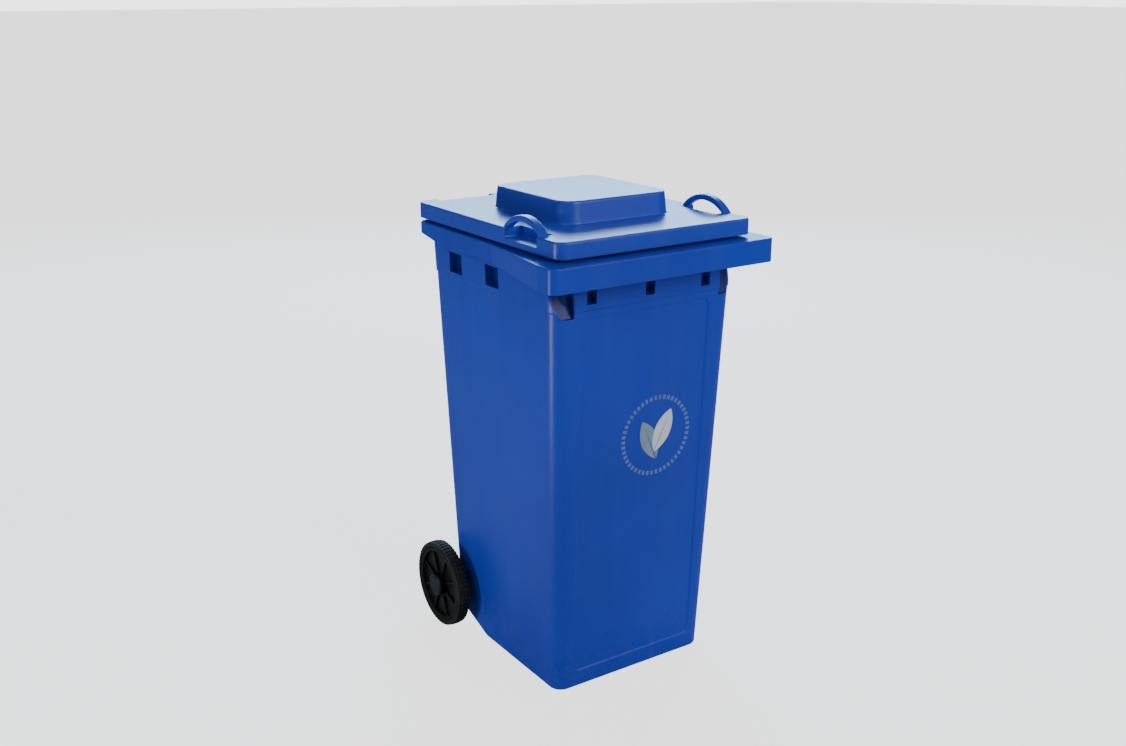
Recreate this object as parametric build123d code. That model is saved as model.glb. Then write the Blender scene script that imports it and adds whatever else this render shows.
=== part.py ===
from build123d import *
import os

# A two-wheeled refuse bin of about 120 litres, in millimetres.
# X runs across the bin, the front faces -Y, the handles and wheels are at +Y, and the ground is z = 0.

# ---- tub: moulded body, tapering from the base up to the rim
ledge_top = 853.0
rim_half_width = 202.0
rim_front = -227.0
rim_rear = 226.0
rim_corner = 30.0
side_taper = 26.0
front_taper = 39.0
rear_taper = 36.0
base_corner = 26.0
tub_wall = 4.0
base_thickness = 9.0
base_recess = 4.0
base_ring_width = 24.0
base_edge_round = 6.0

base_half_width = rim_half_width - side_taper
base_front = rim_front + front_taper
base_rear = rim_rear - rear_taper

# ---- lid hinge: two tubular grips behind the rear wall, each with a pin through it
pin_radius = 7.0
pin_clearance = 0.05
ear_clearance = 0.08
grip_wall = 5.5
grip_setback = 40.0
hinge_drop = 5.0
arm_end_wall = 7.0
arm_thickness = 8.0
arm_inner_x = 52.0
grip_length = 114.0
arm_gap = 2.5
arm_root_drop = 65.0
ear_thickness = 8.0
pin_head_lip = 4.0
pin_head_thickness = 4.0
pin_head_round = 1.5
pin_tail = 9.0
pin_groove_depth = 0.8
pin_groove_width = 3.0
cap_wall = 2.0
washer_gap = 0.3

hinge_y = rim_rear + grip_setback
hinge_z = ledge_top - hinge_drop
grip_radius = pin_radius + grip_wall
arm_end_radius = pin_radius + arm_end_wall
pin_head_radius = pin_radius + pin_head_lip
grip_end_x = arm_inner_x + grip_length
inner_ear_x = arm_inner_x - arm_gap - ear_thickness
outer_ear_x = grip_end_x + arm_gap

# ---- rim: ledge, turned-down apron and the comb lip for lifting at the front
ledge_thickness = 4.5
apron_wall = 4.0
side_rim_reach = 15.0
side_rim_drop = 34.0
corner_rim_reach = 14.0
corner_rim_drop = 23.0
corner_rim_gap = 4.5
window_ledge_reach = 3.0
lip_side_reach = 43.0
lip_reach = 53.0
lip_drop = 44.0
lip_return_length = 45.0
lip_taper_length = 195.0
lip_corner = 16.0
rim_edge_round = 2.5
collar_height = 13.0
rim_rib_thickness = 3.5
side_rib_spacing = 52.0
front_rib_spacing = 46.0

side_rim_half_width = rim_half_width + side_rim_reach
corner_rim_rear = rim_rear + corner_rim_reach
corner_rim_inner = outer_ear_x + ear_thickness + corner_rim_gap
lip_half_width = rim_half_width + lip_side_reach
lip_front = rim_front - lip_reach
lip_return_rear = lip_front + lip_return_length
lip_taper_rear = lip_return_rear + lip_taper_length
collar_top = ledge_top + collar_height

# ---- belt: the thicker band of wall under the rim, with its core pockets
belt_drop = 97.0
belt_out = 2.0
pocket_wall = 3.0
pocket_reach = 60.0
side_pocket_drop = 47.0
side_pocket_height = 39.0
side_pocket_width = 46.0
side_pocket_depth = 16.0
side_pocket_places = (-14.0, 120.0)
front_pocket_drop = 56.0
front_pocket_height = 29.0
front_pocket_width = 20.0
front_pocket_depth = 15.0
front_pocket_inset = 75.0
corner_pocket_drop = 49.0
corner_pocket_height = 58.0
corner_pocket_depth = 17.0
corner_pocket_front_length = 40.0
corner_pocket_side_length = 33.0

belt_low = ledge_top - belt_drop
front_pocket_places = (front_pocket_inset - rim_half_width, 0.0, rim_half_width - front_pocket_inset)

# ---- front panel
panel_margin = 60.0
panel_low = 34.0
panel_belt_gap = 12.0
panel_depth = 2.0
panel_corner = 16.0
panel_draft = 60.0

panel_half_width = rim_half_width - panel_margin
panel_high = belt_low - panel_belt_gap

# ---- label bonded to the front panel: a ring and two leaves
label_centre_x = 33.0
label_drop = 363.0
label_radius = 80.0
label_ring_width = 4.5
label_thickness = 0.4
leaf_length = 88.0
leaf_bulge = 19.0
leaf_spread = 15.0
leaf_tilt = 24.0

label_centre_z = ledge_top - label_drop

# ---- lid
lid_lift = 6.0
lid_skirt_height = 30.0
lid_side_reveal = 3.5
lip_show = 27.0
lid_rear_overhang = 12.0
lid_corner = 22.0
lid_wall = 3.5
lid_edge_round = 4.0
notch_gap = 6.0
plateau_half_width = 118.0
plateau_front = -130.0
plateau_rear = 122.0
plateau_height = 41.5
plateau_draft = 5.0
plateau_corner = 30.0
plateau_edge_round = 5.0
plateau_foot_round = 3.0
lid_rib_thickness = 2.5
lid_rib_depth = 5.0
lid_rib_gap = 9.0
rest_ring_width = 3.0
rest_gap = 0.4

lid_half_width = side_rim_half_width - lid_side_reveal
lid_front = lip_front + lip_show
lid_rear = corner_rim_rear + lid_rear_overhang
lid_skirt_low = ledge_top + lid_lift
lid_top = lid_skirt_low + lid_skirt_height
plateau_top = lid_top + plateau_height
grip_notch_front = rim_rear + notch_gap

# ---- lid handles: an arch over a finger pocket at each side edge
arch_setback = 120.0
arch_span = 132.0
arch_rise = 28.0
arch_bar = 11.0
arch_width = 17.0
arch_edge_round = 3.0
arch_inset = 3.0
scoop_margin = 14.0
scoop_width = 34.0

arch_centre_y = lid_front + arch_setback
arch_crown = lid_top + arch_rise
scoop_length = arch_span - 2 * scoop_margin
scoop_floor = collar_top + rest_gap + lid_wall

# ---- axle, carried by housings in a notch across the foot of the rear wall
wheel_radius = 90.0
axle_radius = 10.0
axle_inset = 5.0
axle_chamfer = 1.0
axle_clearance = 0.05
spacer_wall = 4.0
housing_wall = 8.0
housing_width = 44.0
housing_setback = 20.0
centre_housing_width = 12.0
notch_clearance = 3.0
foot_length = 104.0
foot_bend_length = 38.0
foot_bend_height = 24.0
foot_height = 38.0

axle_y = base_rear - axle_inset
axle_z = wheel_radius
spacer_radius = axle_radius + spacer_wall
housing_radius = axle_radius + housing_wall
housing_outer_x = base_half_width - housing_setback
housing_inner_x = housing_outer_x - housing_width
notch_front = axle_y - spacer_radius - notch_clearance
notch_top = axle_z + housing_radius
foot_start = notch_front - foot_length

# ---- wheel on its axle end, from the inside outwards
wheel_side_gap = 24.0
tyre_thickness = 14.0
tyre_width = 30.0
tyre_shoulder = 9.0
tread_groove_depth = 1.6
tread_groove_width = 1.8
tread_groove_pitch = 4.5
rim_thickness = 5.0
rim_width = 24.0
bead_height = 2.0
bead_width = 8.0
web_thickness = 4.0
web_offset = 2.0
spoke_count = 8
spoke_thickness = 4.0
spoke_inset = 3.0
hub_wall = 6.0
hub_inner_reach = 16.0
hub_outer_reach = 12.5
bush_wall = 3.0
bush_length = 12.0
bush_flange_lip = 4.0
bush_flange = 2.0
bush_clearance = 0.06
side_play = 0.25
washer_thickness = 1.5
washer_lip = 7.5
lock_thickness = 1.8
lock_lip = 5.0
lock_groove_depth = 0.8
lock_teeth = 6
lock_notch_width = 2.0
axle_tail = 1.6
hub_cap_gap = 5.0
hub_cap_wall = 1.6
hub_cap_seat_depth = 3.0
hub_cap_head = 0.8

tyre_centre_x = base_half_width + wheel_side_gap + tyre_width / 2
seat_radius = wheel_radius - tyre_thickness
rim_inner_radius = seat_radius - rim_thickness
web_x = tyre_centre_x + web_offset
hub_inner_x = tyre_centre_x - hub_inner_reach
hub_outer_x = tyre_centre_x + hub_outer_reach
bush_radius = axle_radius + bush_wall
bush_flange_radius = bush_radius + bush_flange_lip
hub_radius = bush_radius + hub_wall
washer_radius = axle_radius + washer_lip
lock_radius = axle_radius + lock_lip
hub_cap_radius = hub_radius + hub_cap_gap

# ---- small steps used all over
sink = 2.0
beyond = 1.0

parts = {}


def at_height(bottom, top, z):
    return bottom + (top - bottom) * z / ledge_top


def tub_section(z, grow=0.0):
    """Plan outline of the tub at one height, grown outwards by grow."""
    half_width = at_height(base_half_width, rim_half_width, z) + grow
    front = at_height(base_front, rim_front, z) - grow
    rear = at_height(base_rear, rim_rear, z) + grow
    corner = at_height(base_corner, rim_corner, z) + grow
    outline = RectangleRounded(2 * half_width, rear - front, corner)
    return Plane.XY.offset(z) * Pos(0, (front + rear) / 2) * outline


def tub_block(z_low, z_high, grow_low=0.0, grow_high=None):
    if grow_high is None:
        grow_high = grow_low
    return loft([tub_section(z_low, grow_low), tub_section(z_high, grow_high)], ruled=True)


def span_box(x_low, x_high, y_low, y_high, z_low, z_high):
    centre = Pos((x_low + x_high) / 2, (y_low + y_high) / 2, (z_low + z_high) / 2)
    return centre * Box(x_high - x_low, y_high - y_low, z_high - z_low)


def side_profile(points, x_low, x_high, grow=0.0):
    """Extrude a (y, z) outline, grown on every side by grow, along X from x_low to x_high."""
    outline = make_face(Polyline(*points, close=True))
    if grow:
        outline = offset(outline, grow, kind=Kind.INTERSECTION)
    return Pos(x_low, 0, 0) * extrude(Plane.YZ * outline, x_high - x_low)


def rod(radius, x_low, x_high, y, z):
    return Pos((x_low + x_high) / 2, y, z) * Rot(0, 90, 0) * Cylinder(radius, x_high - x_low)


def ring(outer, inner, x_low, x_high, y, z):
    return rod(outer, x_low, x_high, y, z) - rod(inner, x_low - beyond, x_high + beyond, y, z)


def both_sides(piece):
    return piece + mirror(piece, Plane.YZ)


def mirrored_plan(right_half):
    """Close a right-hand outline, listed from the front centre to the rear centre, over the Y axis."""
    left_half = [(-x, y) for x, y in reversed(right_half) if x > 0]
    return make_face(Polyline(*right_half, *left_half, close=True))


def rounded_plan(right_half, radii):
    """As mirrored_plan, with the corners at each point of radii rounded on both sides."""
    outline = mirrored_plan(right_half)
    for (corner_x, corner_y), radius in radii.items():
        corners = [v for v in outline.vertices() if abs(abs(v.X) - corner_x) + abs(v.Y - corner_y) < 0.01]
        outline = fillet(corners, radius)
    return outline


def top_edges(piece):
    return piece.faces().sort_by(Axis.Z)[-1].edges()


# ---- tub


def rim_plan(inset=0.0):
    """Plan of the ledge and its apron: comb lip in front, narrower sides, set back behind the grips."""
    side = side_rim_half_width - inset
    lip = lip_half_width - inset
    front = lip_front + inset
    rear = corner_rim_rear - inset
    inner = corner_rim_inner + inset
    window_rear = rim_rear + window_ledge_reach - inset
    return_rear = lip_return_rear - inset / 2
    taper_rear = lip_taper_rear - inset / 2
    points = [
        (0, front),
        (lip, front),
        (lip, return_rear),
        (side, taper_rear),
        (side, rear),
        (inner, rear),
        (inner, window_rear),
        (0, window_rear),
    ]
    radii = {
        (lip, front): lip_corner - inset,
        (lip, return_rear): 3 * lip_corner,
        (side, taper_rear): 3 * lip_corner,
        (side, rear): lip_corner - inset,
    }
    return rounded_plan(points, radii)


def rim_side_limits():
    """Side view of the rim: the apron is deep at the lip and gets shallower towards the hinge."""
    reach = lip_half_width + beyond
    side_low = ledge_top - side_rim_drop
    corner_low = ledge_top - corner_rim_drop
    points = [
        (lip_front - beyond, ledge_top),
        (lip_front - beyond, ledge_top - lip_drop),
        (lip_return_rear, ledge_top - lip_drop),
        (lip_taper_rear, side_low),
        (rim_rear - 2 * side_rim_drop, side_low),
        (rim_rear, corner_low),
        (corner_rim_rear + beyond, corner_low),
        (corner_rim_rear + beyond, ledge_top),
    ]
    return side_profile(points, -reach, reach)


def rim_prism(inset, z_high, edge_round=0.0):
    z_low = ledge_top - lip_drop
    prism = extrude(Plane.XY.offset(z_low) * rim_plan(inset), z_high - z_low)
    if edge_round:
        prism = fillet(top_edges(prism), edge_round)
    return prism & rim_side_limits()


def rim_ribs(limits):
    """Gussets between the tub and the apron, along the sides and under the comb lip."""
    z_low = ledge_top - lip_drop
    half = rim_rib_thickness / 2
    ribs = []
    side_count = int((rim_rear - lip_return_rear) / side_rib_spacing)
    for step in range(side_count):
        y = lip_return_rear + side_rib_spacing * (step + 0.5)
        rib = span_box(rim_half_width - 2 * tub_wall, lip_half_width, y - half, y + half, z_low, ledge_top)
        ribs.append(both_sides(rib))
    front_count = int((lip_half_width - lip_corner) / front_rib_spacing)
    for step in range(-front_count, front_count + 1):
        x = step * front_rib_spacing
        ribs.append(span_box(x - half, x + half, lip_front, rim_front + 2 * tub_wall, z_low, ledge_top))
    return [rib & limits for rib in ribs]


def side_pocket(y, grow):
    half = side_pocket_width / 2 + grow
    z_high = ledge_top - side_pocket_drop
    return span_box(rim_half_width - pocket_reach, lip_half_width, y - half, y + half,
                    z_high - side_pocket_height - grow, z_high + grow)


def front_pocket(x, grow):
    half = front_pocket_width / 2 + grow
    z_high = ledge_top - front_pocket_drop
    return span_box(x - half, x + half, lip_front, rim_front + pocket_reach,
                    z_high - front_pocket_height - grow, z_high + grow)


def corner_pocket(grow):
    """Wedge round a front corner, wide under the lip and narrow at its foot."""
    high = ledge_top - corner_pocket_drop
    low = high - corner_pocket_height - grow
    high += grow
    front_start = rim_half_width - corner_pocket_front_length - grow
    side_start = rim_front + corner_pocket_side_length + grow
    front_foot = rim_half_width - corner_pocket_front_length / 2
    side_foot = rim_front + corner_pocket_side_length / 3
    across = [(front_start, high), (lip_half_width, high), (front_foot, low), (front_start, low)]
    along = [(lip_front, high), (side_start, high), (side_foot, low), (lip_front, low)]
    across_face = make_face(Polyline(*across, close=True))
    across_prism = Pos(0, lip_front, 0) * extrude(Plane.XZ * across_face, lip_front - side_start)
    return across_prism & side_profile(along, 0, lip_half_width)


def pockets(grow=0.0):
    """Each set of core pockets as (depth, cutter), with its cutter grown on every side."""
    found = [(side_pocket_depth, both_sides(side_pocket(y, grow))) for y in side_pocket_places]
    found += [(front_pocket_depth, front_pocket(x, grow)) for x in front_pocket_places]
    found.append((corner_pocket_depth, both_sides(corner_pocket(grow))))
    return found


def cut_pockets(tub, cavity):
    """Line the cavity behind each pocket, then sink the pocket into the wall."""
    z_low = belt_low - corner_pocket_height
    for depth, cutter in pockets(pocket_wall):
        core = tub_block(z_low, ledge_top, belt_out - depth - pocket_wall)
        tub += (cutter & cavity) - core
    for depth, cutter in pockets():
        tub -= cutter - tub_block(z_low, ledge_top, belt_out - depth)
    return tub


def grip_arm(x_low):
    """One arm from the rear wall out to the hinge axis."""
    points = [
        (rim_rear - sink, hinge_z + sink),
        (hinge_y, hinge_z + sink),
        (hinge_y, hinge_z - arm_end_radius + beyond),
        (at_height(base_rear, rim_rear, hinge_z - arm_root_drop) - 2 * sink, hinge_z - arm_root_drop),
    ]
    x_high = x_low + arm_thickness
    return side_profile(points, x_low, x_high) + rod(arm_end_radius, x_low, x_high, hinge_y, hinge_z)


def grips():
    one_side = grip_arm(arm_inner_x) + grip_arm(grip_end_x - arm_thickness)
    one_side += rod(grip_radius, arm_inner_x, grip_end_x, hinge_y, hinge_z)
    return both_sides(one_side)


def foot_notch(grow=0.0):
    """Space cut across the foot of the rear wall for the axle, and the sloping heel below it."""
    reach = lip_half_width
    points = [
        (foot_start, -sink),
        (foot_start, 0),
        (notch_front - foot_bend_length, foot_bend_height),
        (notch_front, foot_height),
        (notch_front, notch_top),
        (corner_rim_rear, notch_top),
        (corner_rim_rear, -sink),
    ]
    return side_profile(points, -reach, reach, grow)


def axle_housing(x_low, x_high):
    """Housing round the axle, joined to the wall in front of it and up to the rear wall above."""
    top = notch_top + housing_radius
    rear_wall = at_height(base_rear, rim_rear, top)
    points = [
        (notch_front - sink, axle_z - housing_radius),
        (axle_y, axle_z - housing_radius),
        (axle_y + housing_radius, axle_z),
        (rear_wall + beyond, top),
        (rear_wall - sink, top),
        (rear_wall - sink, notch_top + sink),
        (notch_front - sink, notch_top + sink),
    ]
    return side_profile(points, x_low, x_high) + rod(housing_radius, x_low, x_high, axle_y, axle_z)


def front_plane(x, z):
    """Plane on the sloping front wall, facing outwards, with its own Y axis running up the wall."""
    slope = (rim_front - base_front) / ledge_top
    return Plane(origin=(x, at_height(base_front, rim_front, z), z), x_dir=(1, 0, 0), z_dir=(0, -1, slope))


def panel_cutter():
    """Shallow front panel with rounded corners and sloping sides."""
    height = panel_high - panel_low
    outline = front_plane(0, (panel_low + panel_high) / 2) \
        * RectangleRounded(2 * panel_half_width, height, panel_corner)
    return extrude(outline, -panel_depth, taper=panel_draft) + extrude(outline, belt_out)


def outer_form():
    """Tub without its cavity: tapered block, belt, and the notch and heel at its foot."""
    outer = tub_block(0, ledge_top)
    outer = fillet(outer.faces().sort_by(Axis.Z)[0].edges(), base_edge_round)
    outer += tub_block(belt_low, belt_low + belt_out, 0.0, belt_out)
    outer += tub_block(belt_low + belt_out, ledge_top, belt_out)
    rear_belt = span_box(-corner_rim_inner, corner_rim_inner, rim_rear - rim_corner, rim_rear + rim_corner,
                         belt_low - beyond, ledge_top + beyond)
    outer -= rear_belt - tub_block(belt_low - beyond, ledge_top)
    return outer - foot_notch()


def make_tub():
    """The one-piece moulding: hollow tub, rim, lip, pockets, front panel, grips and axle housings."""
    collar = extrude(tub_section(ledge_top), collar_height)
    cavity = tub_block(base_thickness, ledge_top, -tub_wall) - foot_notch(tub_wall)
    mouth = extrude(tub_section(ledge_top, -tub_wall), collar_height + beyond)

    rim_block = rim_prism(0.0, ledge_top, rim_edge_round)
    rim = rim_block - rim_prism(apron_wall, ledge_top - ledge_thickness)
    for rib in rim_ribs(rim_block):
        rim += rib

    tub = outer_form() + collar + rim + grips()
    tub += both_sides(axle_housing(housing_inner_x, housing_outer_x))
    tub += axle_housing(-centre_housing_width / 2, centre_housing_width / 2)
    tub = cut_pockets(tub - cavity - mouth, cavity)
    tub -= rod(axle_radius + axle_clearance, -lip_half_width, lip_half_width, axle_y, axle_z)
    pin_bore = rod(pin_radius + pin_clearance, arm_inner_x - beyond, grip_end_x + beyond, hinge_y, hinge_z)
    tub -= both_sides(pin_bore)
    tub -= panel_cutter()
    recess = extrude(tub_section(0, -base_ring_width), base_recess)
    return tub - (recess - span_box(-lip_half_width, lip_half_width, foot_start - base_ring_width,
                                    rim_rear, -beyond, base_recess + beyond))


def leaf(side):
    """One pointed leaf, leaning outwards to its side from the middle of the label."""
    tip = leaf_length / 2
    outline = [ThreePointArc((0, -tip), (leaf_bulge, 0), (0, tip)),
               ThreePointArc((0, tip), (-leaf_bulge, 0), (0, -tip))]
    lift = side * leaf_spread / 2
    return Pos(side * leaf_spread, lift) * Rot(0, 0, -side * leaf_tilt) * make_face(outline)


def make_label():
    """Thin printed label, flat on the sloping front panel."""
    face = front_plane(label_centre_x, label_centre_z).offset(-panel_depth)
    ring_face = Circle(label_radius) - Circle(label_radius - label_ring_width)
    shapes = [ring_face, leaf(-1), leaf(1)]
    return Compound(children=[extrude(face * shape, label_thickness).solid() for shape in shapes])


# ---- lid


def lid_plan(inset=0.0):
    """Plan of the lid, with a notch over each grip for the fingers."""
    half = lid_half_width - inset
    front = lid_front + inset
    rear = lid_rear - inset
    notch_inner = arm_inner_x - arm_gap - inset
    notch_outer = grip_end_x + arm_gap + inset
    points = [
        (0, front),
        (half, front),
        (half, rear),
        (notch_outer, rear),
        (notch_outer, grip_notch_front - inset),
        (notch_inner, grip_notch_front - inset),
        (notch_inner, rear),
        (0, rear),
    ]
    radii = {(half, front): lid_corner - inset, (half, rear): lid_corner - inset}
    return rounded_plan(points, radii)


def plateau(inset=0.0):
    """Raised middle of the lid, a block with drafted sides and rounded corners."""
    length = plateau_rear - plateau_front
    centre = Pos(0, (plateau_front + plateau_rear) / 2)
    corner = plateau_corner - inset
    low = lid_top - lid_wall
    high = plateau_top - inset
    bottom = RectangleRounded(2 * (plateau_half_width + plateau_draft - inset),
                              length + 2 * (plateau_draft - inset), corner + plateau_draft)
    top = RectangleRounded(2 * (plateau_half_width - inset), length - 2 * inset, corner)
    return loft([Plane.XY.offset(low) * centre * bottom, Plane.XY.offset(high) * centre * top], ruled=True)


def lid_shell():
    cap = extrude(Plane.XY.offset(lid_skirt_low) * lid_plan(), lid_skirt_height)
    cap = fillet(top_edges(cap), lid_edge_round)
    raised = plateau()
    shell = cap + fillet(top_edges(raised), plateau_edge_round)
    reach = 2 * plateau_draft
    foot_edges = [e for e in shell.edges() if abs(e.center().Z - lid_top) < 0.01
                  and abs(e.center().X) < plateau_half_width + reach
                  and plateau_front - reach < e.center().Y < plateau_rear + reach]
    shell = fillet(foot_edges, plateau_foot_round)
    inside = Plane.XY.offset(lid_skirt_low - beyond) * lid_plan(lid_wall)
    return shell - extrude(inside, lid_skirt_height + beyond - lid_wall) - plateau(lid_wall)


def rest_ring():
    """Rib under the lid that comes to rest on the tub's collar."""
    outer = tub_section(ledge_top, (rest_ring_width - tub_wall) / 2)
    inner = tub_section(ledge_top, -(rest_ring_width + tub_wall) / 2)
    height = lid_top - lid_wall / 2 - collar_top - rest_gap
    return Pos(0, 0, collar_height + rest_gap) * extrude(outer - inner, height)


def lid_ribs():
    """Low ribs under the lid plate, between the raised middle and the tub's collar."""
    under = lid_top - lid_wall
    low = under - lid_rib_depth
    reach = rim_half_width - tub_wall - lid_rib_gap
    front = rim_front + tub_wall + lid_rib_gap
    rear = rim_rear - tub_wall - lid_rib_gap
    half = lid_rib_thickness / 2
    ribs = []
    for share in (-0.6, -0.2, 0.2, 0.6):
        x = share * plateau_half_width
        ribs.append(span_box(x - half, x + half, front, plateau_front, low, under))
        ribs.append(span_box(x - half, x + half, plateau_rear, rear, low, under))
    for share in (0.1, 0.5, 0.9):
        y = plateau_front + share * (plateau_rear - plateau_front)
        ribs.append(both_sides(span_box(plateau_half_width, reach, y - half, y + half, low, under)))
    return ribs


def lid_ear(x_low):
    """Ear that reaches from the lid's rear edge down to the hinge axis."""
    x_high = x_low + ear_thickness
    shoulder = 0.7 * arm_end_radius
    points = [
        (grip_notch_front - sink, lid_top - lid_wall / 2),
        (grip_notch_front - sink, lid_skirt_low),
        (hinge_y - arm_end_radius + beyond, hinge_z),
        (hinge_y, hinge_z),
        (hinge_y + shoulder, hinge_z + shoulder),
        (lid_rear, lid_top - lid_edge_round),
        (lid_rear - lid_edge_round, lid_top - lid_wall / 2),
    ]
    return side_profile(points, x_low, x_high) + rod(arm_end_radius, x_low, x_high, hinge_y, hinge_z)


def arch_handle():
    """Arched bar along the right-hand edge of the lid."""
    x_high = lid_half_width - arch_inset
    half = arch_span / 2
    inner_half = half - arch_bar
    foot = lid_top - lid_wall
    inner_crown = arch_crown - arch_bar
    outer = ThreePointArc((arch_centre_y - half, foot), (arch_centre_y, arch_crown),
                          (arch_centre_y + half, foot))
    inner = ThreePointArc((arch_centre_y + inner_half, foot), (arch_centre_y, inner_crown),
                          (arch_centre_y - inner_half, foot))
    outline = make_face([outer, Line(outer @ 1, inner @ 0), inner, Line(inner @ 1, outer @ 0)])
    bar = Pos(x_high - arch_width, 0, 0) * extrude(Plane.YZ * outline, arch_width)
    long_edges = [e for e in bar.edges() if e.length > arch_span * 0.6]
    return fillet(long_edges, arch_edge_round)


def finger_scoop(grow=0.0):
    """Space for the fingers under the arch, open at the top and at the side."""
    x_low = lid_half_width - scoop_width - grow
    z_low = scoop_floor - grow
    half = scoop_length / 2 + grow
    scoop = span_box(x_low, lid_half_width + beyond, arch_centre_y - half, arch_centre_y + half,
                     z_low, lid_top + beyond)
    floor_edges = [e for e in scoop.edges() if abs(e.center().Z - z_low) < 0.01
                   and e.center().X < lid_half_width]
    return fillet(floor_edges, lid_edge_round + grow)


def make_lid():
    """The one-piece lid: skirt, raised middle, finger scoops, arches and hinge ears."""
    lid = lid_shell()
    for rib in lid_ribs():
        lid += rib
    lid_block = extrude(Plane.XY.offset(lid_skirt_low) * lid_plan(), lid_skirt_height - lid_wall / 2)
    lid += both_sides(finger_scoop(lid_wall) & lid_block) + rest_ring()
    lid -= both_sides(finger_scoop())
    lid += both_sides(arch_handle())
    lid += both_sides(lid_ear(inner_ear_x) + lid_ear(outer_ear_x))
    reach = outer_ear_x + ear_thickness + beyond
    return lid - both_sides(rod(pin_radius + ear_clearance, inner_ear_x - beyond, reach, hinge_y, hinge_z))


# ---- lid hinge pins and their caps


def pin_groove(tail_x):
    """Band of the groove round the pin's tail, from the pin's own end at tail_x."""
    low = tail_x + (pin_tail - pin_groove_width) / 2
    return ring(pin_radius + beyond, pin_radius - pin_groove_depth, low, low + pin_groove_width,
                hinge_y, hinge_z)


def make_hinge_pin():
    """Right-hand pin: head outside the outer ear, grooved tail beyond the inner ear."""
    head_low = outer_ear_x + ear_thickness + washer_gap
    tail_x = inner_ear_x - washer_gap - pin_tail
    pin = rod(pin_radius, tail_x, head_low + beyond, hinge_y, hinge_z)
    head = rod(pin_head_radius, head_low, head_low + pin_head_thickness, hinge_y, hinge_z)
    pin += fillet([head.edges().sort_by(Axis.X)[-1]], pin_head_round)
    return pin - pin_groove(tail_x)


def make_hinge_cap():
    """Right-hand cap: snaps over the pin's tail and into its groove."""
    mouth_x = inner_ear_x - washer_gap
    tail_x = mouth_x - pin_tail
    cap = rod(pin_head_radius, tail_x - cap_wall, mouth_x, hinge_y, hinge_z)
    cap = fillet([cap.edges().sort_by(Axis.X)[0]], pin_head_round)
    return cap - rod(pin_radius, tail_x, mouth_x + beyond, hinge_y, hinge_z) + pin_groove(tail_x)


# ---- axle and the pieces on its right-hand end; every place follows from the hub

inner_flange_x = hub_inner_x - bush_flange
inner_washer_x = inner_flange_x - side_play - washer_thickness
outer_flange_x = hub_outer_x + bush_flange
outer_washer_x = outer_flange_x + side_play
lock_x = outer_washer_x + washer_thickness
axle_end_x = lock_x + lock_thickness + axle_tail


def axle_rod(radius, x_low, x_high):
    return rod(radius, x_low, x_high, axle_y, axle_z)


def axle_ring(outer, inner, x_low, x_high):
    return ring(outer, inner, x_low, x_high, axle_y, axle_z)


def make_axle():
    axle = axle_rod(axle_radius, -axle_end_x, axle_end_x)
    axle = chamfer(axle.edges().filter_by(GeomType.CIRCLE), axle_chamfer)
    groove = axle_ring(axle_radius + beyond, axle_radius - lock_groove_depth, lock_x, lock_x + lock_thickness)
    return axle - both_sides(groove)


def make_spacer():
    return axle_ring(spacer_radius, axle_radius + axle_clearance, housing_outer_x, inner_washer_x)


def make_washers():
    pair = [axle_ring(washer_radius, axle_radius + axle_clearance, low, low + washer_thickness)
            for low in (inner_washer_x, outer_washer_x)]
    return Compound(children=[piece.solid() for piece in pair])


def make_lock():
    """Push-on star ring seated in the axle's groove, with notches between its teeth."""
    lock = axle_ring(lock_radius, axle_radius - lock_groove_depth, lock_x, lock_x + lock_thickness)
    notch = Box(lock_thickness + 2 * beyond, lock_notch_width, lock_lip)
    for step in range(lock_teeth):
        turn = Rot(360 / lock_teeth * step, 0, 0)
        lock -= Pos(lock_x + lock_thickness / 2, axle_y, axle_z) * turn * Pos(0, 0, axle_radius) * notch
    return lock


def make_bush(outer_side):
    """Flanged bush pressed into one end of the hub bore."""
    if outer_side:
        sleeve = axle_rod(bush_radius, hub_outer_x - bush_length, hub_outer_x)
        flange = axle_rod(bush_flange_radius, hub_outer_x, outer_flange_x)
    else:
        sleeve = axle_rod(bush_radius, hub_inner_x, hub_inner_x + bush_length)
        flange = axle_rod(bush_flange_radius, inner_flange_x, hub_inner_x)
    bore = axle_rod(axle_radius + bush_clearance, inner_flange_x - beyond, outer_flange_x + beyond)
    return sleeve + flange - bore


def turned(points):
    """Turn an (x, radius) outline about the axle's axis."""
    outline = make_face(Polyline(*[(x, axle_y, axle_z + radius) for x, radius in points], close=True))
    return revolve(outline, Axis((0, axle_y, axle_z), (1, 0, 0)), 360)


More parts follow.
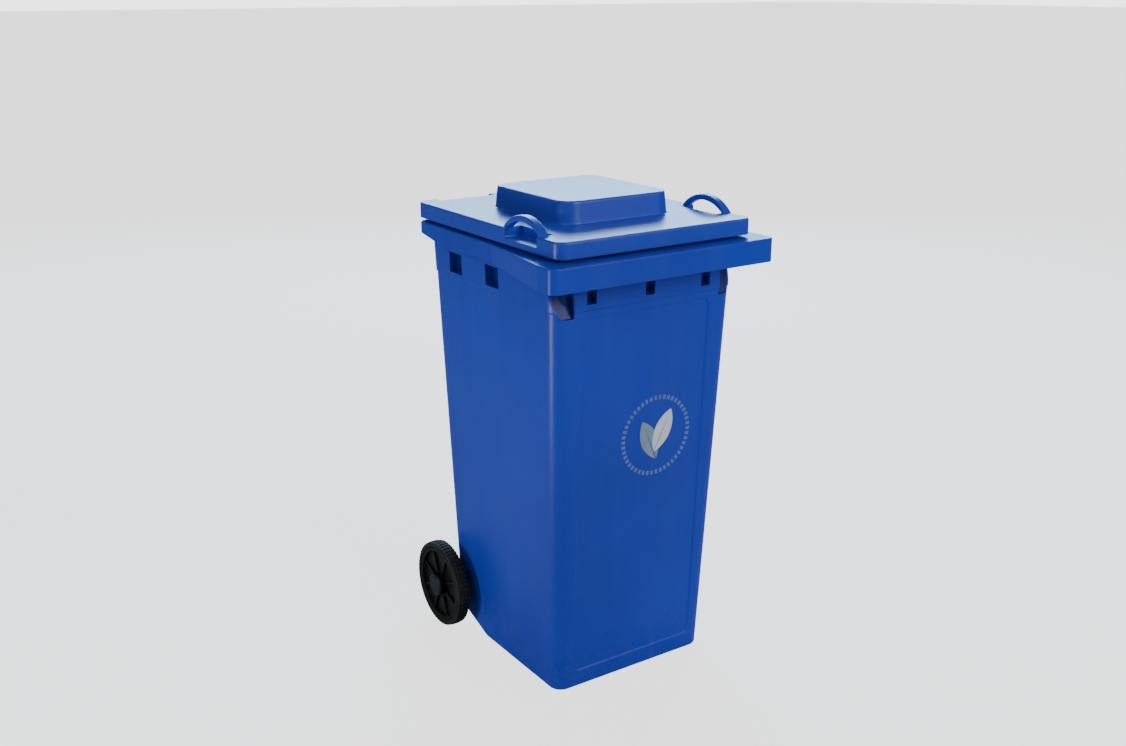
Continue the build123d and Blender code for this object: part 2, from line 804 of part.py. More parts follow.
def make_wheel_centre():
    """Moulded wheel: rim with a bead, web, spokes on both faces and a hub with a seat for the cap."""
    mid = tyre_centre_x
    half_web = web_thickness / 2
    half_rim = rim_width / 2
    half_bead = bead_width / 2
    web_rim_radius = rim_inner_radius - sink
    web_hub_radius = hub_radius + sink
    points = [
        (hub_inner_x, bush_radius),
        (hub_outer_x, bush_radius),
        (hub_outer_x, hub_radius),
        (web_x + half_web, web_hub_radius),
        (web_x + half_web, web_rim_radius),
        (mid + half_rim, rim_inner_radius),
        (mid + half_rim, seat_radius),
        (mid + half_bead, seat_radius),
        (mid + half_bead, seat_radius + bead_height),
        (mid - half_bead, seat_radius + bead_height),
        (mid - half_bead, seat_radius),
        (mid - half_rim, seat_radius),
        (mid - half_rim, rim_inner_radius),
        (web_x - half_web, web_rim_radius),
        (web_x - half_web, web_hub_radius),
        (hub_inner_x, hub_radius),
    ]
    wheel = turned(points)
    spoke_low = mid - half_rim + spoke_inset
    spoke_high = mid + half_rim - spoke_inset
    spoke_in = hub_cap_radius + sink
    spoke_out = rim_inner_radius + sink
    spoke = Pos((spoke_low + spoke_high) / 2, 0, (spoke_in + spoke_out) / 2) \
        * Box(spoke_high - spoke_low, spoke_thickness, spoke_out - spoke_in)
    foot = Pos((spoke_low + web_x) / 2, 0, (hub_radius + spoke_in) / 2) \
        * Box(web_x - spoke_low, spoke_thickness, spoke_in - hub_radius + sink)
    for step in range(spoke_count):
        turn = Rot(360 / spoke_count * (step + 0.5), 0, 0)
        wheel += Pos(0, axle_y, axle_z) * turn * spoke
        wheel += Pos(0, axle_y, axle_z) * turn * foot
    web_face = web_x + half_web
    return wheel - axle_ring(hub_cap_radius, hub_cap_radius - hub_cap_wall, web_face - beyond,
                             web_face + hub_cap_seat_depth)


def make_hub_cap():
    """Domed cap snapped into the wheel, over the end of the axle."""
    low = web_x + web_thickness / 2 - beyond
    high = axle_end_x + hub_cap_head
    inner = hub_cap_radius - hub_cap_wall
    dome = 3 * hub_cap_wall
    points = [
        (low, inner),
        (high, inner),
        (high, 0),
        (high + hub_cap_wall, 0),
        (high + hub_cap_wall, hub_cap_radius - dome),
        (high, inner + hub_cap_wall / 3),
        (high - hub_cap_wall, hub_cap_radius),
        (low, hub_cap_radius),
    ]
    return turned(points)


def make_tyre():
    """Solid tyre with a rounded, grooved tread, seated on the rim and its bead."""
    mid = tyre_centre_x
    half = tyre_width / 2
    half_bead = bead_width / 2
    points = [
        (mid - half, seat_radius),
        (mid - half_bead, seat_radius),
        (mid - half_bead, seat_radius + bead_height),
        (mid + half_bead, seat_radius + bead_height),
        (mid + half_bead, seat_radius),
        (mid + half, seat_radius),
        (mid + half, wheel_radius),
        (mid - half, wheel_radius),
    ]
    tyre = turned(points)
    shoulders = [e for e in tyre.edges().filter_by(GeomType.CIRCLE) if abs(e.radius - wheel_radius) < 0.01]
    tyre = fillet(shoulders, tyre_shoulder)
    half_groove = tread_groove_width / 2
    for step in (-1, 0, 1):
        groove = mid + step * tread_groove_pitch
        tyre -= axle_ring(wheel_radius + beyond, wheel_radius - tread_groove_depth,
                          groove - half_groove, groove + half_groove)
    return tyre


# ---- all the pieces

parts["tub"] = make_tub()
parts["lid"] = make_lid()
parts["front_label"] = make_label()
parts["axle"] = make_axle()

right_hand = {
    "hinge_pin": make_hinge_pin(),
    "hinge_pin_cap": make_hinge_cap(),
    "axle_spacer": make_spacer(),
    "axle_washers": make_washers(),
    "wheel_lock_ring": make_lock(),
    "wheel_inner_bush": make_bush(False),
    "wheel_outer_bush": make_bush(True),
    "wheel_centre": make_wheel_centre(),
    "wheel_tyre": make_tyre(),
    "wheel_hub_cap": make_hub_cap(),
}
for name, piece in right_hand.items():
    parts[name + "_right"] = piece
    parts[name + "_left"] = mirror(piece, Plane.YZ)

os.makedirs("parts", exist_ok=True)
for name, piece in parts.items():
    piece.label = name
    export_step(piece, os.path.join("parts", name + ".step"))
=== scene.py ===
import math
import bmesh
import bpy
from mathutils import Matrix, Vector


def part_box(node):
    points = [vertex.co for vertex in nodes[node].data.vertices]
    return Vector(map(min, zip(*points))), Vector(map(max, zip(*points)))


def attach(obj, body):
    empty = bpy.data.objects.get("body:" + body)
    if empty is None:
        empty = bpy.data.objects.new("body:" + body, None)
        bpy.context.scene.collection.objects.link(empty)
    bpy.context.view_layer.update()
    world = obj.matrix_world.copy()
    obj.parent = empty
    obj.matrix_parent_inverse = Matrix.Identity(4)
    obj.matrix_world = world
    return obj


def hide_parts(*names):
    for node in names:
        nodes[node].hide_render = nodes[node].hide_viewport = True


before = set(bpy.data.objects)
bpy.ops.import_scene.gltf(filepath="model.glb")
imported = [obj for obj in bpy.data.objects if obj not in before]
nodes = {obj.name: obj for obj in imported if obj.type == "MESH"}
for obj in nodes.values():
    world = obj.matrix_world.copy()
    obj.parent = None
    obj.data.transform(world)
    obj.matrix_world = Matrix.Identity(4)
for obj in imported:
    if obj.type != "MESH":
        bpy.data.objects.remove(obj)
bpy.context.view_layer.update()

sides = ("left", "right")
mergeDistance = 1e-5    # metres, for points that should be one


class Wire:    # a shader socket that works in plain arithmetic
    def __init__(self, finish, socket):
        self.finish = finish
        self.socket = socket

    def __add__(self, other):
        return self.finish.maths("ADD", self, other)

    def __sub__(self, other):
        return self.finish.maths("SUBTRACT", self, other)

    def __rsub__(self, other):
        return self.finish.maths("SUBTRACT", other, self)

    def __mul__(self, other):
        return self.finish.maths("MULTIPLY", self, other)

    __radd__ = __add__
    __rmul__ = __mul__

    def between(self, low, high):    # 0 below low, 1 above high, smooth between
        settings = {"interpolation_type": "SMOOTHSTEP"}
        return self.finish.node("ShaderNodeMapRange", settings, {0: self, 1: low, 2: high})


class Finish:    # one material and the nodes that make it
    def __init__(self, name):
        self.material = bpy.data.materials.new(name)
        self.material.use_nodes = True
        self.tree = self.material.node_tree
        self.shader = self.tree.nodes["Principled BSDF"]
        self.place = self.node("ShaderNodeTexCoord", output="Object")

    def node(self, kind, settings={}, inputs={}, output=0):
        made = self.tree.nodes.new(kind)
        for key, value in settings.items():
            setattr(made, key, value)
        for key, value in inputs.items():
            if isinstance(value, Wire):
                self.tree.links.new(value.socket, made.inputs[key])
            else:
                made.inputs[key].default_value = value
        return Wire(self, made.outputs[output])

    def feed(self, socket, value):
        target = self.shader.inputs[socket]
        if isinstance(value, Wire):
            self.tree.links.new(value.socket, target)
        elif isinstance(value, tuple):
            target.default_value = (*value, 1)
        else:
            target.default_value = value

    def maths(self, operation, *values):
        return self.node("ShaderNodeMath", {"operation": operation}, dict(enumerate(values)))

    def vector(self, operation, *values, output=0):
        settings = {"operation": operation}
        return self.node("ShaderNodeVectorMath", settings, dict(enumerate(values)), output)

    def split(self, place, axes="XYZ"):
        return [self.node("ShaderNodeSeparateXYZ", {}, {0: place}, axis) for axis in axes]

    def stretched(self, scale):
        return self.node("ShaderNodeMapping", {}, {"Vector": self.place, "Scale": scale})

    def noise(self, scale, detail=2, place=None):
        inputs = {"Vector": place or self.place, "Scale": scale, "Detail": detail}
        return self.node("ShaderNodeTexNoise", {}, inputs)

    def blend(self, factor, first, second):
        first, second = (c if isinstance(c, Wire) else (*c, 1) for c in (first, second))
        inputs = {0: factor, 6: first, 7: second}    # the colour sockets of a Mix node
        return self.node("ShaderNodeMix", {"data_type": "RGBA"}, inputs, 2)

    def mirrored(self):    # place with both halves of the bin folded onto +X
        x, y, z = self.split(self.place)
        return self.node("ShaderNodeCombineXYZ", {}, {0: self.maths("ABSOLUTE", x), 1: y, 2: z})

    def inside(self, place, low, high, soft):    # 1 inside a box, 0 outside, over a soft margin
        centre = tuple((a + b) / 2 for a, b in zip(low, high))
        half = tuple((b - a) / 2 for a, b in zip(low, high))
        apart = self.vector("ABSOLUTE", self.vector("SUBTRACT", place, centre))
        x, y, z = self.split(self.vector("SUBTRACT", apart, half))
        farthest = self.maths("MAXIMUM", self.maths("MAXIMUM", x, y), z)
        return 1 - farthest.between(-soft, 0)

    def bump(self, height, strength, distance, edge=0):
        inputs = {"Height": height, "Strength": strength, "Distance": distance}
        if edge:    # softened moulded edges, radius in metres
            inputs["Normal"] = self.node("ShaderNodeBevel", {"samples": 4}, {"Radius": edge})
        self.feed("Normal", self.node("ShaderNodeBump", {}, inputs))


def shade(colour, share):
    return tuple(share * channel for channel in colour)


def paint(piece, finish):
    piece.data.materials.clear()
    piece.data.materials.append(finish.material)


def addMesh(name, bm, finish):
    mesh = bpy.data.meshes.new(name)
    bm.to_mesh(mesh)
    bm.free()
    piece = bpy.data.objects.new(name, mesh)
    bpy.context.scene.collection.objects.link(piece)
    paint(piece, finish)
    return piece


def settle(piece):    # modifiers into a plain mesh
    bpy.context.view_layer.update()
    evaluated = piece.evaluated_get(bpy.context.evaluated_depsgraph_get())
    mesh = bpy.data.meshes.new_from_object(evaluated)
    piece.modifiers.clear()
    piece.data = mesh


# Moulded plastic of the tub, the lid and the hinge pins, in metres where it is a length.
moulded = {
    "mouldedTub": {"colour": (0.016, 0.050, 0.560), "roughness": 0.355, "gloss": 0.42},
    "mouldedLid": {"colour": (0.020, 0.062, 0.580), "roughness": 0.335, "gloss": 0.62},
    "pinPlastic": {"colour": (0.009, 0.045, 0.290), "roughness": 0.395, "gloss": 0.42},
}
plastic = {
    "cloudScale": 3.2, "cloudRange": (0.3, 0.7), "cloudShades": (0.9, 1.08), "cloudRough": 0.06,
    "flowStretch": (26, 26, 1.6), "flowRange": (0.35, 0.75), "flowTint": 0.10, "flowRough": 0.08,
    "scratchStretch": (60, 60, 900), "scratchRange": (0.68, 0.76), "scratchTint": 0.5,
    "rubScale": 70, "rubRange": (0.50, 0.72), "rubTint": 0.16, "rubRough": 0.18,
    "wornHeight": 0.16, "roughMean": 0.07,    # roughMean is what cloud and flow add on average
    "scuffColour": (0.060, 0.130, 0.420), "dustColour": (0.150, 0.190, 0.300),
    "grainScale": 620, "grainBump": 0.35, "peelScale": 75, "peelBump": 0.9, "scratchBump": 0.6,
    "bumpStrength": 0.22, "bumpDistance": 0.0009, "edgeRound": 0.0015,
}
pocketShade = {    # painted shade: dark navy insides of the core pockets under the rim, right-hand half, standing in for the shade the rim casts into them
    "colour": (0.003, 0.012, 0.160), "tint": 0.92, "soft": 0.0012,
    "boxes": [
        ((0.184, -0.0375, 0.7665), (0.2012, 0.0095, 0.8065)),
        ((0.184, 0.0965, 0.7665), (0.2012, 0.1435, 0.8065)),
        ((-0.0105, -0.2248, 0.7675), (0.0105, -0.2085, 0.7975)),
        ((0.1165, -0.2248, 0.7675), (0.1375, -0.2085, 0.7975)),
    ],
    # painted shadow: a band in the recess behind each rounded front corner, under the lip
    "cornerBox": ((0.1610, -0.2300, 0.7440), (0.2050, -0.1930, 0.8060)),
    "cornerCentre": (0.172, -0.1957, 0), "cornerRadius": 0.030,
    "cornerStart": (0.0042, 0.0056), "cornerEnd": (0.0185, 0.0195),    # depth behind the corner
}


def cornerDepth(finish, folded):    # how deep a point lies behind the rounded front corner
    away = finish.vector("SUBTRACT", folded, pocketShade["cornerCentre"])
    away = finish.vector("MULTIPLY", away, (1, -1, 0))
    beyond = finish.vector("MAXIMUM", away, (0, 0, 0))
    reach = finish.vector("LENGTH", beyond, output="Value")
    x, y = finish.split(away, "XY")
    nearest = finish.maths("MINIMUM", finish.maths("MAXIMUM", x, y), 0)
    return pocketShade["cornerRadius"] - reach - nearest


# Painted shade: blends the pocket insides and a band behind each front corner to a dark navy, in
# place of the shade under the rim.
def paintPocketShade(finish, body):
    folded = finish.mirrored()
    for corners in pocketShade["boxes"]:
        shadeMask = finish.inside(folded, *corners, pocketShade["soft"])
        body = finish.blend(shadeMask * pocketShade["tint"], body, pocketShade["colour"])
    deep = cornerDepth(finish, folded)
    band = deep.between(*pocketShade["cornerStart"]) * (1 - deep.between(*pocketShade["cornerEnd"]))
    cornerShade = finish.inside(folded, *pocketShade["cornerBox"], pocketShade["soft"])
    return finish.blend(cornerShade * band * pocketShade["tint"], body, pocketShade["colour"])


def makeMoulded(name, withPocketShade=False):
    look = moulded[name]
    finish = Finish(name)
    cloud = finish.noise(plastic["cloudScale"], 3)
    flow = finish.noise(1.0, 4, finish.stretched(plastic["flowStretch"]))
    grain = finish.noise(plastic["grainScale"])
    peel = finish.noise(plastic["peelScale"])
    scratch = finish.noise(1.0, 6, finish.stretched(plastic["scratchStretch"]))
    scratch = scratch.between(*plastic["scratchRange"])
    rubbed = finish.noise(plastic["rubScale"], 6).between(*plastic["rubRange"])
    low = 1 - finish.split(finish.place, "Z")[0].between(0, plastic["wornHeight"])
    wear = low * rubbed
    darker, paler = (shade(look["colour"], share) for share in plastic["cloudShades"])
    body = finish.blend(cloud.between(*plastic["cloudRange"]), darker, paler)
    streaks = flow.between(*plastic["flowRange"]) * plastic["flowTint"]
    body = finish.blend(streaks, body, plastic["scuffColour"])
    body = finish.blend(scratch * low * plastic["scratchTint"], body, plastic["scuffColour"])
    body = finish.blend(wear * plastic["rubTint"], body, plastic["dustColour"])
    # painted shade in the pockets, on the tub only
    if withPocketShade:
        body = paintPocketShade(finish, body)
    finish.feed("Base Color", body)
    rough = cloud * plastic["cloudRough"] + flow * plastic["flowRough"]
    rough = rough + wear * plastic["rubRough"] + (look["roughness"] - plastic["roughMean"])
    finish.feed("Roughness", rough)
    finish.feed("Specular IOR Level", look["gloss"])
    height = grain * plastic["grainBump"] + peel * plastic["peelBump"]
    height = height + scratch * low * plastic["scratchBump"]
    finish.bump(height, plastic["bumpStrength"], plastic["bumpDistance"], plastic["edgeRound"])
    return finish


paint(nodes["tub"], makeMoulded("mouldedTub", withPocketShade=True))
paint(nodes["lid"], makeMoulded("mouldedLid"))
print("tub and lid painted")


# Small plastic pieces, rubber and steel.
small = {
    "wheelPlastic": {"colour": (0.008, 0.009, 0.009), "roughness": 0.46},
    "capPlastic": {"colour": (0.010, 0.011, 0.012), "roughness": 0.36},
    "spacerPlastic": {"colour": (0.012, 0.012, 0.014), "roughness": 0.42},
    "bushNylon": {"colour": (0.62, 0.60, 0.52), "pale": (0.70, 0.68, 0.60), "roughness": 0.4},
    "cloudColour": (0.006, 0.0065, 0.006), "dustColour": (0.060, 0.057, 0.048),
    "cloudScale": 22, "cloudRough": 0.12, "roughMean": 0.06, "gloss": 0.22,
    "dustScale": 60, "dustRange": (0.55, 0.72), "dustTint": 0.25, "paleScale": 90,
    "grainScale": 900, "bumpStrength": 0.25, "bumpDistance": 0.0004, "edgeRound": 0.0006,
}
rubberLook = {
    "colour": (0.020, 0.019, 0.014), "dustColour": (0.060, 0.057, 0.048), "roughness": 0.68,
    "cloudScale": 30, "cloudRough": 0.12, "cloudBump": 0.4, "grainScale": 1400, "grainBump": 0.6,
    "dustScale": 45, "dustRange": (0.45, 0.7), "dustTint": 0.45,
    "bumpStrength": 0.35, "bumpDistance": 0.0005,
}
steel = {
    "lacqueredSteel": {"colour": (0.018, 0.018, 0.020), "metallic": 0.2, "roughness": 0.34},
    "zincSteel": {"colour": (0.56, 0.57, 0.60), "metallic": 1.0, "roughness": 0.36},
    "streakStretch": (900, 60, 60), "streakRough": 0.16, "roughMean": 0.08,
    "spotScale": 180, "spotRange": (0.62, 0.74), "spotTint": 0.3, "spotShade": 0.5,
    "spotRough": 0.15, "bumpStrength": 0.2, "bumpDistance": 0.0002,
}


def makeSmallPlastic(name):
    look = small[name]
    finish = Finish(name)
    cloud = finish.noise(small["cloudScale"], 4)
    if "pale" in look:    # unpainted nylon, mottled
        mottle = finish.noise(small["paleScale"], 3)
        body = finish.blend(mottle, look["colour"], look["pale"])
    else:
        dust = finish.noise(small["dustScale"], 5).between(*small["dustRange"])
        body = finish.blend(cloud, look["colour"], small["cloudColour"])
        body = finish.blend(dust * small["dustTint"], body, small["dustColour"])
    finish.feed("Base Color", body)
    base = look["roughness"] - small["roughMean"]
    finish.feed("Roughness", cloud * small["cloudRough"] + base)
    finish.feed("Specular IOR Level", small["gloss"])
    grain = finish.noise(small["grainScale"])
    finish.bump(grain, small["bumpStrength"], small["bumpDistance"], small["edgeRound"])
    return finish


def makeRubber(name):
    look = rubberLook
    finish = Finish(name)
    cloud = finish.noise(look["cloudScale"], 5)
    grain = finish.noise(look["grainScale"], 3)
    dust = finish.noise(look["dustScale"], 6).between(*look["dustRange"])
    body = finish.blend(dust * look["dustTint"], look["colour"], look["dustColour"])
    finish.feed("Base Color", body)
    finish.feed("Roughness", cloud * look["cloudRough"] + look["roughness"])
    height = grain * look["grainBump"] + cloud * look["cloudBump"]
    finish.bump(height, look["bumpStrength"], look["bumpDistance"])
    return finish


def makeSteel(name):
    look = steel[name]
    finish = Finish(name)
    finish.feed("Metallic", look["metallic"])
    streak = finish.noise(1.0, 4, finish.stretched(steel["streakStretch"]))
    spots = finish.noise(steel["spotScale"], 4).between(*steel["spotRange"])
    spotColour = shade(look["colour"], steel["spotShade"])
    finish.feed("Base Color", finish.blend(spots * steel["spotTint"], look["colour"], spotColour))
    rough = streak * steel["streakRough"] + spots * steel["spotRough"]
    finish.feed("Roughness", rough + (look["roughness"] - steel["roughMean"]))
    finish.bump(streak, steel["bumpStrength"], steel["bumpDistance"])
    return finish


rubber = makeRubber("tyreRubber")
wheelPlastic = makeSmallPlastic("wheelPlastic")
capPlastic = makeSmallPlastic("capPlastic")
spacerPlastic = makeSmallPlastic("spacerPlastic")
nylon = makeSmallPlastic("bushNylon")
axleSteel = makeSteel("lacqueredSteel")
zincSteel = makeSteel("zincSteel")
pinPlastic = makeMoulded("pinPlastic")

finishes = {
    "axle": axleSteel, "axle_spacer": spacerPlastic, "axle_washers": zincSteel,
    "wheel_lock_ring": zincSteel, "hinge_pin": pinPlastic, "hinge_pin_cap": pinPlastic,
    "wheel_centre": wheelPlastic, "wheel_inner_bush": nylon, "wheel_outer_bush": nylon,
    "wheel_hub_cap": capPlastic,
}
for name, node in nodes.items():
    plain = name.rsplit("_", 1)[0] if name.endswith(sides) else name
    if plain in finishes:
        paint(node, finishes[plain])
print("axle, hinge and wheel pieces painted")


def makeRingTree():    # copies of one shape on a circle, each facing outwards
    tree = bpy.data.node_groups.new("ringOfCopies", "GeometryNodeTree")
    sockets = {
        "Geometry": "NodeSocketGeometry", "Count": "NodeSocketInt", "Radius": "NodeSocketFloat",
        "Shape": "NodeSocketObject", "Finish": "NodeSocketMaterial",
    }
    for name, kind in sockets.items():
        tree.interface.new_socket(name, in_out="INPUT", socket_type=kind)
    tree.interface.new_socket("Geometry", in_out="OUTPUT", socket_type=sockets["Geometry"])
    add = tree.nodes.new
    link = tree.links.new
    source = add("NodeGroupInput").outputs
    circle = add("GeometryNodeMeshCircle")
    position = add("GeometryNodeInputPosition")
    align = add("FunctionNodeAlignRotationToVector")
    align.axis = "X"
    align.pivot_axis = "Z"
    shape = add("GeometryNodeObjectInfo")
    place = add("GeometryNodeInstanceOnPoints")
    real = add("GeometryNodeRealizeInstances")
    colour = add("GeometryNodeSetMaterial")
    target = add("NodeGroupOutput")
    link(source["Count"], circle.inputs["Vertices"])
    link(source["Radius"], circle.inputs["Radius"])
    link(position.outputs["Position"], align.inputs["Vector"])
    link(source["Shape"], shape.inputs["Object"])
    link(circle.outputs["Mesh"], place.inputs["Points"])
    link(shape.outputs["Geometry"], place.inputs["Instance"])
    link(align.outputs["Rotation"], place.inputs["Rotation"])
    link(place.outputs["Instances"], real.inputs["Geometry"])
    link(real.outputs["Geometry"], colour.inputs["Geometry"])
    link(source["Finish"], colour.inputs["Material"])
    link(colour.outputs["Geometry"], target.inputs["Geometry"])
    return tree


ringCopies = makeRingTree()


def makeRing(name, shape, count, radius, finish):
    piece = addMesh(name, bmesh.new(), finish)
    modifier = piece.modifiers.new("ring", "NODES")
    modifier.node_group = ringCopies
    values = {"Count": count, "Radius": radius, "Shape": shape, "Finish": finish.material}
    for item in ringCopies.interface.items_tree:
        if item.in_out == "INPUT" and item.name in values:
            modifier[item.identifier] = values[item.name]
    settle(piece)
    bpy.data.objects.remove(shape)
    return piece


def block(name, size, radius, finish):    # block with rounded edges, centred
    bm = bmesh.new()
    bmesh.ops.create_cube(bm, size=1.0, matrix=Matrix.Diagonal((*size, 1)))
    bmesh.ops.bevel(bm, geom=bm.edges[:], offset=radius, segments=2, profile=0.6, affect="EDGES")
    return addMesh(name, bm, finish)


def join(name, pieces):
    first = pieces[0]
    with bpy.context.temp_override(active_object=first, selected_editable_objects=pieces):
        bpy.ops.object.join()
    first.name = name
    first.data.name = name
    return first


# Label: a ring of dashes round two leaves, in metres and degrees.
label = {
    "dashes": 46, "dashSize": (0.0085, 0.0062, 0.0005), "dashRound": 0.0002, "ringInset": 0.0045,
    "leafLength": 0.088, "leafHalfWidth": 0.019, "leafThick": 0.0005, "leafSteps": 24,
    "leafCurve": 0.9, "leafSplit": 0.0006,    # leafSplit is half the slit at the leaf's foot
    "leafSpread": 0.015, "leafTilt": 24, "leafLift": 0.0004, "filmThick": 0.0004,
}
film = {
    "ringFilm": {"colour": (0.150, 0.230, 0.560), "fade": 0.4},
    "brightFilm": {"colour": (0.86, 0.91, 1.0), "fade": 0.12},
    "dimFilm": {"colour": (0.30, 0.38, 0.50), "fade": 0.3},
    "speckScale": 240, "speckRange": (0.35, 0.8), "speckTint": 0.12, "speckShade": 0.8,
    "rubScale": 35, "rubRange": (0.5, 0.75), "rubShade": 0.55, "rubRough": 0.2,
    "roughness": 0.32, "bumpStrength": 0.15, "bumpDistance": 0.0002,
}


def makeFilm(name):
    look = film[name]
    finish = Finish(name)
    speck = finish.noise(film["speckScale"], 4).between(*film["speckRange"])
    rub = finish.noise(film["rubScale"], 5).between(*film["rubRange"])
    rubbed, specked = (shade(look["colour"], film[key]) for key in ("rubShade", "speckShade"))
    worn = finish.blend(rub * look["fade"], look["colour"], rubbed)
    finish.feed("Base Color", finish.blend(speck * film["speckTint"], worn, specked))
    finish.feed("Roughness", rub * film["rubRough"] + film["roughness"])
    finish.bump(speck, film["bumpStrength"], film["bumpDistance"])
    return finish


def labelPlace():    # where the label stands on the sloping front, and its radius
    low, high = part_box("front_label")
    lean = math.atan2(high.y - low.y - label["filmThick"], high.z - low.z)
    upright = Matrix.Rotation(math.pi / 2 + lean, 4, "X")
    return Matrix.Translation((low + high) / 2) @ upright, (high.x - low.x) / 2


def makeLeaf(name, side, finish):    # side is -1 for the left leaf and 1 for the right
    bm = bmesh.new()
    rows = []
    for step in range(label["leafSteps"] + 1):
        along = step / label["leafSteps"] * 2 - 1
        half = label["leafHalfWidth"] * (1 - along * along) ** label["leafCurve"]
        slit = label["leafSplit"] * (1 - along)
        edge = slit + max(half - slit, 0)
        y = along * label["leafLength"] / 2
        rows.append([bm.verts.new((x, y, 0)) for x in (-edge, -slit, slit, edge)])
    for lower, upper in zip(rows, rows[1:]):
        for k in (0, 2):    # a strip on each side of the slit
            bm.faces.new((lower[k], lower[k + 1], upper[k + 1], upper[k]))
    bmesh.ops.remove_doubles(bm, verts=bm.verts[:], dist=mergeDistance)
    bmesh.ops.dissolve_degenerate(bm, edges=bm.edges[:], dist=mergeDistance / 10)
    bmesh.ops.recalc_face_normals(bm, faces=bm.faces[:])
    piece = addMesh(name, bm, finish)
    solid = piece.modifiers.new("film", "SOLIDIFY")
    solid.thickness = label["leafThick"]
    solid.offset = 0
    settle(piece)
    turn = Matrix.Rotation(-side * math.radians(label["leafTilt"]), 4, "Z")
    lift = label["leafLift"] if side > 0 else 0    # the bright leaf lies over the dim one
    shift = Vector((side * label["leafSpread"], side * label["leafSpread"] / 2, lift))
    piece.data.transform(Matrix.Translation(shift) @ turn)
    return piece


def makeLabel():
    place, radius = labelPlace()
    ringFilm, bright, dim = (makeFilm(name) for name in ("ringFilm", "brightFilm", "dimFilm"))
    dash = block("dash", label["dashSize"], label["dashRound"], ringFilm)
    ringRadius = radius - label["ringInset"]
    ring = makeRing("labelRing", dash, label["dashes"], ringRadius, ringFilm)
    leaves = [makeLeaf("leftLeaf", -1, dim), makeLeaf("rightLeaf", 1, bright)]
    for piece in [ring] + leaves:
        piece.data.transform(place)
        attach(piece, "bin")
        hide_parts("front_label")


makeLabel()
print("label made")


# Tyre: a turned body and rows of lugs, in metres.
tyre = {
    "turns": 96, "smoothAngle": 35, "treadDepth": 0.0022, "shoulder": 0.0085,
    "shoulderSteps": 6, "seatShare": 0.62, "seatDepth": 0.0016, "sideRib": 0.0008,
    "wallRises": (0.002, 0.0045, 0.006, 0.0075),    # foot of the wall, then start, top, end of rib
    "lugs": 60, "lugShare": 0.72, "lugWidth": 0.0052, "lugHeight": 0.0044, "lugRound": 0.0006,
    "rows": {-1.5: 0.0012, -0.5: 0, 0.5: 0, 1.5: 0.0012},    # place in pitches: how far it is sunk
    "rowPitch": 0.0066,
}


def tyreOutline(half, outer, inner):    # closed section of the body as (x, radius)
    shoulder = tyre["shoulder"]
    top = outer - tyre["treadDepth"] - shoulder
    foot, start, peak, end = (inner + rise for rise in tyre["wallRises"])
    points = [(-half * tyre["seatShare"], inner), (-half, foot), (-half, start),
              (-half - tyre["sideRib"], peak), (-half, end)]
    for step in range(tyre["shoulderSteps"] + 1):
        turn = math.pi / 2 * step / tyre["shoulderSteps"]
        x = -half + shoulder * (1 - math.cos(turn))
        points.append((x, top + shoulder * math.sin(turn)))
    return points + [(-x, radius) for x, radius in reversed(points)]


def makeTyreBody(side, half, outer, inner):
    bm = bmesh.new()
    outline = [bm.verts.new((x, 0, radius)) for x, radius in tyreOutline(half, outer, inner)]
    edges = [bm.edges.new(pair) for pair in zip(outline, outline[1:] + outline[:1])]
    bmesh.ops.spin(bm, geom=outline + edges, cent=(0, 0, 0), axis=(1, 0, 0), angle=math.tau,
                   steps=tyre["turns"], use_duplicate=False)
    bmesh.ops.remove_doubles(bm, verts=bm.verts[:], dist=mergeDistance)
    bmesh.ops.recalc_face_normals(bm, faces=bm.faces[:])
    body = addMesh("tyreBody_" + side, bm, rubber)
    body.data.shade_smooth()
    body.data.set_sharp_from_angle(angle=math.radians(tyre["smoothAngle"]))
    return body


def makeLugRow(row, sunk, outer):
    length = math.tau * outer / tyre["lugs"] * tyre["lugShare"]
    size = (tyre["lugHeight"], length, tyre["lugWidth"])
    lug = block("lug", size, tyre["lugRound"], rubber)
    radius = outer - tyre["lugHeight"] / 2 - sunk
    lugs = makeRing("lugs", lug, tyre["lugs"], radius, rubber)
    along = Matrix.Translation((0, 0, row * tyre["rowPitch"]))
    lugs.data.transform(Matrix.Rotation(math.pi / 2, 4, "Y") @ along)
    return lugs


def makeTyre(side):
    node = "wheel_tyre_" + side
    low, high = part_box(node)
    rimLow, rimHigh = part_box("wheel_centre_" + side)
    outer = (high.z - low.z) / 2
    half = (high.x - low.x) / 2 - tyre["sideRib"]
    inner = (rimHigh.z - rimLow.z) / 2 - tyre["seatDepth"]
    body = makeTyreBody(side, half, outer, inner)
    rows = [makeLugRow(row, sunk, outer) for row, sunk in tyre["rows"].items()]
    piece = join("tyre_" + side, [body] + rows)
    piece.data.transform(Matrix.Translation((low + high) / 2))
    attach(piece, side + "_wheel")
    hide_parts(node)


for side in sides:
    makeTyre(side)
print("tyres made")


# Floor, sky, lamps and camera, in metres, watts and degrees.
stage = {
    "floorHalf": 60.0, "floorColour": (0.42, 0.43, 0.45), "floorRoughness": 0.9,
    "floorGlow": 12.0, "floorShare": 0.16,
    "skyColour": (0.80, 0.88, 1.0), "skyStrength": 0.16, "backStrength": 4.0,
}
lamps = {
    "lowRear": {"at": (2.1, 3.4, 2.5), "towards": (0, 0, 0.9), "size": (4.2, 1.4),
                "watts": 250, "tint": (0.45, 0.72, 1.0)},
    "leftStrip": {"at": (-1.7, 0.2, 0.31), "towards": (-0.2, -0.2, 0.5), "size": (0.05, 0.55),
                  "watts": 8, "tint": (1, 1, 1)},
    "leftFill": {"at": (-2.6, -0.9, 2.6), "towards": (0, 0, 0.5), "size": (1.2, 1.2),
                 "watts": 16, "tint": (1, 1, 1)},
    "frontFill": {"at": (0.9, -3.4, 2.4), "towards": (0, 0, 0.5), "size": (2.2, 2.0),
                  "watts": 76, "tint": (1, 1, 1)},
}
view = {
    "aim": (-0.019, 0.025, 0.560), "distance": 2.47, "turn": -33.86, "tilt": 17.45,
    "lens": 39.9, "sensor": 36,
}


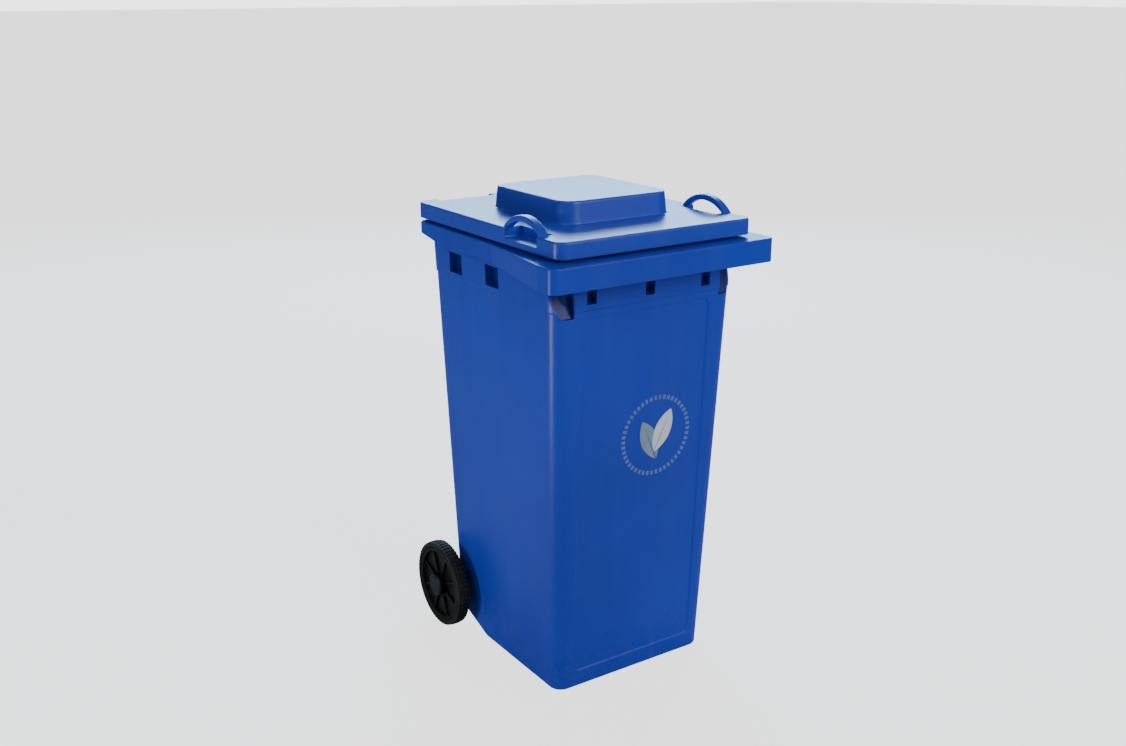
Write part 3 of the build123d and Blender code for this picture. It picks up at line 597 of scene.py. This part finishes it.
def makeFloor():    # looks pale without throwing much light back on the bin
    finish = Finish("paleFloor")
    finish.feed("Roughness", stage["floorRoughness"])
    finish.feed("Base Color", stage["floorColour"])
    glow = finish.node("ShaderNodeEmission", {}, {"Strength": stage["floorGlow"]})
    seen = finish.node("ShaderNodeLightPath", output="Is Camera Ray") * stage["floorShare"]
    surface = Wire(finish, finish.shader.outputs["BSDF"])
    mixed = finish.node("ShaderNodeMixShader", {}, {0: seen, 1: surface, 2: glow})
    finish.tree.links.new(mixed.socket, finish.tree.nodes["Material Output"].inputs["Surface"])
    bm = bmesh.new()
    bmesh.ops.create_grid(bm, x_segments=1, y_segments=1, size=stage["floorHalf"])
    addMesh("floor", bm, finish)


def makeSky():    # a pale backdrop that lights the bin only softly
    world = bpy.data.worlds.new("studio")
    world.use_nodes = True
    bpy.context.scene.world = world
    tree = world.node_tree
    soft = tree.nodes["Background"]
    soft.inputs["Color"].default_value = (*stage["skyColour"], 1)
    soft.inputs["Strength"].default_value = stage["skyStrength"]
    back = tree.nodes.new("ShaderNodeBackground")
    back.inputs["Strength"].default_value = stage["backStrength"]
    path = tree.nodes.new("ShaderNodeLightPath")
    mix = tree.nodes.new("ShaderNodeMixShader")
    tree.links.new(path.outputs["Is Camera Ray"], mix.inputs[0])
    tree.links.new(soft.outputs[0], mix.inputs[1])
    tree.links.new(back.outputs[0], mix.inputs[2])
    tree.links.new(mix.outputs[0], tree.nodes["World Output"].inputs["Surface"])


def addLamp(name, lamp):
    data = bpy.data.lights.new(name, "AREA")
    data.shape = "RECTANGLE"
    data.size, data.size_y = lamp["size"]
    data.energy = lamp["watts"]
    data.color = lamp["tint"]
    piece = bpy.data.objects.new(name, data)
    piece.location = lamp["at"]
    beam = Vector(lamp["towards"]) - Vector(lamp["at"])
    piece.rotation_euler = beam.to_track_quat("-Z", "Y").to_euler()
    piece.visible_camera = False
    bpy.context.scene.collection.objects.link(piece)


def placeCamera():
    data = bpy.data.cameras.new("camera")
    data.lens = view["lens"]
    data.sensor_width = view["sensor"]
    camera = bpy.data.objects.new("camera", data)
    bpy.context.scene.collection.objects.link(camera)
    turn = math.radians(view["turn"])
    tilt = math.radians(view["tilt"])
    level = math.cos(tilt)
    forward = Vector((-math.sin(turn) * level, math.cos(turn) * level, -math.sin(tilt)))
    camera.location = Vector(view["aim"]) - forward * view["distance"]
    camera.rotation_euler = (math.pi / 2 - tilt, 0, turn)
    bpy.context.scene.camera = camera


makeFloor()
makeSky()
for name, lamp in lamps.items():
    addLamp(name, lamp)
placeCamera()
print("floor, light and camera placed")
